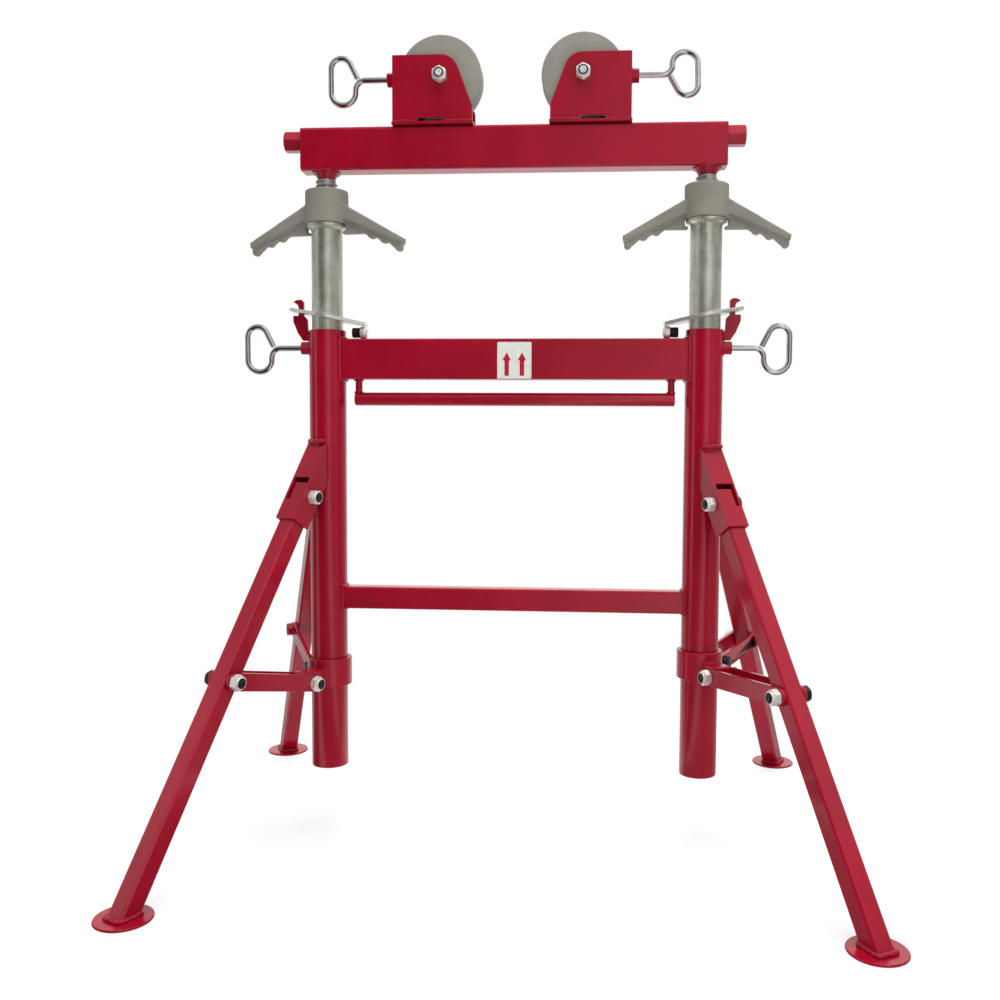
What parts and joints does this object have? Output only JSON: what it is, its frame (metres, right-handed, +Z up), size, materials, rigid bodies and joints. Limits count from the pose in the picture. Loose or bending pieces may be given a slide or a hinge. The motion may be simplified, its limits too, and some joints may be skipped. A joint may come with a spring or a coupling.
{
  "type": "pipe jack stand",
  "caption": "Folding stand with telescopic columns, splayed legs and a screw-lifted beam whose rollers carry a pipe at working height.",
  "frame": {"origin": "on the floor, in the middle of the rectangle round the four feet", "axes": "+Z up, +X to the right across the two columns, +Y to the rear"},
  "size_m": [0.8922, 0.6882, 1.0737],
  "materials": {
    "red_paint": "glossy red enamel over welded steel",
    "zinc": "zinc plated steel with fine drawn streaks",
    "chrome": "bright plated wire",
    "grey_cast": "matt grey cast iron",
    "bright_steel": "bright zinc plated fasteners",
    "black_oxide": "blackened steel and dark nylon inserts",
    "label": "plain printed plate"
  },
  "bodies": {
    "stand": {"carry_handle": "red_paint", "column_left": "red_paint", "column_right": "red_paint", "hook_plate_left": "red_paint", "hook_plate_right": "red_paint", "leg_bolt_left_front": "bright_steel", "leg_bolt_left_rear": "bright_steel", "leg_bolt_right_front": "bright_steel", "leg_bolt_right_rear": "bright_steel", "leg_bracket_left_front": "red_paint", "leg_bracket_left_rear": "red_paint", "leg_bracket_right_front": "red_paint", "leg_bracket_right_rear": "red_paint", "lower_crossbar": "red_paint", "stop_bolt_left": "bright_steel", "stop_bolt_right": "bright_steel", "upper_crossbar": "red_paint"},
    "mast": {"inner_tube_left": "zinc", "inner_tube_right": "zinc"},
    "beam": {"roller_beam": "red_paint", "jack_screw_left": "zinc", "jack_screw_right": "zinc"},
    "jack_nut_left": {"jack_nut_left": "grey_cast"},
    "jack_nut_right": {"jack_nut_right": "grey_cast"},
    "traverse_screw": {"traverse_screw": "red_paint"},
    "carriage_left": {"roller_bracket_left": "red_paint", "roller_axle_left": "bright_steel"},
    "roller_left": {"roller_left": "grey_cast"},
    "brake_screw_left": {"brake_screw_left": "chrome"},
    "lock_screw_left": {"lock_screw_left": "chrome"},
    "grip_plate_left": {"grip_plate_left": "zinc"},
    "collar_left": {"collar_left": "red_paint", "collar_bolt_left_front": "bright_steel", "collar_bolt_left_rear": "bright_steel"},
    "leg_left_front": {"leg_left_front": "red_paint"},
    "leg_left_rear": {"leg_left_rear": "red_paint"},
    "link_left_front": {"link_bar_left_front_inner": "red_paint", "link_bar_left_front_outer": "red_paint", "link_nut_left_front": "bright_steel"},
    "link_left_rear": {"link_bar_left_rear_inner": "red_paint", "link_bar_left_rear_outer": "red_paint", "link_nut_left_rear": "bright_steel"},
    "carriage_right": {"roller_bracket_right": "red_paint", "roller_axle_right": "bright_steel"},
    "roller_right": {"roller_right": "grey_cast"},
    "brake_screw_right": {"brake_screw_right": "chrome"},
    "lock_screw_right": {"lock_screw_right": "chrome"},
    "grip_plate_right": {"grip_plate_right": "zinc"},
    "collar_right": {"collar_right": "red_paint", "collar_bolt_right_front": "bright_steel", "collar_bolt_right_rear": "bright_steel"},
    "leg_right_front": {"leg_right_front": "red_paint"},
    "leg_right_rear": {"leg_right_rear": "red_paint"},
    "link_right_front": {"link_bar_right_front_inner": "red_paint", "link_bar_right_front_outer": "red_paint", "link_nut_right_front": "bright_steel"},
    "link_right_rear": {"link_bar_right_rear_inner": "red_paint", "link_bar_right_rear_outer": "red_paint", "link_nut_right_rear": "bright_steel"}
  },
  "joints": [
    {"name": "mast_slide", "type": "slide", "parent": "stand", "child": "mast", "axis": [0, 0, 1], "range_m": [-0.085, 0.25]},
    {"name": "jack_nut_left_turn", "type": "hinge", "parent": "mast", "child": "jack_nut_left", "pos_m": [-0.25744, 0, 0.8293], "axis": [0, 0, -1], "range_deg": [-720, 7200]},
    {"name": "jack_nut_right_turn", "type": "hinge", "parent": "mast", "child": "jack_nut_right", "pos_m": [0.25456, 0, 0.8323], "axis": [0, 0, -1], "range_deg": [-720.01, 7200.01]},
    {"name": "beam_lift", "type": "slide", "parent": "mast", "child": "beam", "axis": [0, 0, 1], "range_m": [-0.012, 0.12]},
    {"name": "traverse_turn", "type": "hinge", "parent": "beam", "child": "traverse_screw", "pos_m": [-0.00494, 0, 0.94], "axis": [1, 0, 0], "range_deg": [-3150.1, 9000.1]},
    {"name": "carriage_left_slide", "type": "slide", "parent": "beam", "child": "carriage_left", "axis": [-1, 0, 0], "range_m": [-0.035, 0.1]},
    {"name": "roller_left_spin", "type": "hinge", "parent": "carriage_left", "child": "roller_left", "pos_m": [-0.09964, 0, 1.0187], "axis": [0, 1, 0], "continuous": true},
    {"name": "brake_screw_left_turn", "type": "hinge", "parent": "carriage_left", "child": "brake_screw_left", "pos_m": [-0.15464, 0, 1.0205], "axis": [-1, 0, 0], "range_deg": [0, 810]},
    {"name": "lock_screw_left_turn", "type": "hinge", "parent": "stand", "child": "lock_screw_left", "pos_m": [-0.27844, 0, 0.6625], "axis": [-1, 0, 0], "range_deg": [0, 810]},
    {"name": "grip_plate_left_tilt", "type": "hinge", "parent": "stand", "child": "grip_plate_left", "pos_m": [-0.29374, 0, 0.712], "axis": [0, -1, 0], "range_deg": [0, 8]},
    {"name": "leg_left_front_fold", "type": "hinge", "parent": "stand", "child": "leg_left_front", "pos_m": [-0.28014, -0.04455, 0.46062], "axis": [0.891, -0.454, 0], "range_deg": [0, 12.6]},
    {"name": "leg_left_rear_fold", "type": "hinge", "parent": "stand", "child": "leg_left_rear", "pos_m": [-0.28014, 0.04455, 0.46062], "axis": [-0.891, -0.454, 0], "range_deg": [0, 12.6]},
    {"name": "collar_left_slide", "type": "slide", "parent": "stand", "child": "collar_left", "axis": [0, 0, -1], "range_m": [0, 0.10795]},
    {"name": "link_left_front_swing", "type": "hinge", "parent": "collar_left", "child": "link_left_front", "pos_m": [-0.28014, -0.04455, 0.209], "axis": [-0.891, 0.454, 0], "range_deg": [0, 39.34]},
    {"name": "link_left_rear_swing", "type": "hinge", "parent": "collar_left", "child": "link_left_rear", "pos_m": [-0.28014, 0.04455, 0.209], "axis": [0.891, 0.454, 0], "range_deg": [0, 39.34]},
    {"name": "carriage_right_slide", "type": "slide", "parent": "beam", "child": "carriage_right", "axis": [1, 0, 0], "range_m": [-0.035, 0.1]},
    {"name": "roller_right_spin", "type": "hinge", "parent": "carriage_right", "child": "roller_right", "pos_m": [0.08976, 0, 1.0187], "axis": [0, 1, 0], "continuous": true},
    {"name": "brake_screw_right_turn", "type": "hinge", "parent": "carriage_right", "child": "brake_screw_right", "pos_m": [0.14476, 0, 1.0205], "axis": [1, 0, 0], "range_deg": [0, 810]},
    {"name": "lock_screw_right_turn", "type": "hinge", "parent": "stand", "child": "lock_screw_right", "pos_m": [0.27556, 0, 0.6625], "axis": [1, 0, 0], "range_deg": [0, 810]},
    {"name": "grip_plate_right_tilt", "type": "hinge", "parent": "stand", "child": "grip_plate_right", "pos_m": [0.29086, 0, 0.712], "axis": [0, 1, 0], "range_deg": [0, 8]},
    {"name": "leg_right_front_fold", "type": "hinge", "parent": "stand", "child": "leg_right_front", "pos_m": [0.27726, -0.04455, 0.45649], "axis": [0.891, 0.454, 0], "range_deg": [0, 13.4]},
    {"name": "leg_right_rear_fold", "type": "hinge", "parent": "stand", "child": "leg_right_rear", "pos_m": [0.27726, 0.04455, 0.45649], "axis": [-0.891, 0.454, 0], "range_deg": [0, 13.4]},
    {"name": "collar_right_slide", "type": "slide", "parent": "stand", "child": "collar_right", "axis": [0, 0, -1], "range_m": [0, 0.13194]},
    {"name": "link_right_front_swing", "type": "hinge", "parent": "collar_right", "child": "link_right_front", "pos_m": [0.27726, -0.04455, 0.22886], "axis": [-0.891, -0.454, 0], "range_deg": [0, 48.15]},
    {"name": "link_right_rear_swing", "type": "hinge", "parent": "collar_right", "child": "link_right_rear", "pos_m": [0.27726, 0.04455, 0.22886], "axis": [0.891, -0.454, 0], "range_deg": [0, 48.15]}
  ],
  "couplings": [
    {"joint": "jack_nut_right_turn", "follows": "jack_nut_left_turn", "ratio": 1},
    {"joint": "beam_lift", "follows": "jack_nut_left_turn", "m_per_rad": 0.00095493},
    {"joint": "traverse_turn", "follows": "carriage_left_slide", "rad_per_m": 1570.8},
    {"joint": "link_left_front_swing", "follows": "leg_left_front_fold", "ratio": 3.1212},
    {"joint": "link_left_rear_swing", "follows": "leg_left_front_fold", "ratio": 3.1212},
    {"joint": "leg_left_rear_fold", "follows": "leg_left_front_fold", "ratio": 1},
    {"joint": "collar_left_slide", "follows": "leg_left_front_fold", "m_per_rad": 0.49083},
    {"joint": "carriage_right_slide", "follows": "carriage_left_slide", "ratio": 1},
    {"joint": "link_right_front_swing", "follows": "leg_right_front_fold", "ratio": 3.5929},
    {"joint": "link_right_rear_swing", "follows": "leg_right_front_fold", "ratio": 3.5929},
    {"joint": "leg_right_rear_fold", "follows": "leg_right_front_fold", "ratio": 1},
    {"joint": "collar_right_slide", "follows": "leg_right_front_fold", "m_per_rad": 0.56412}
  ]
}
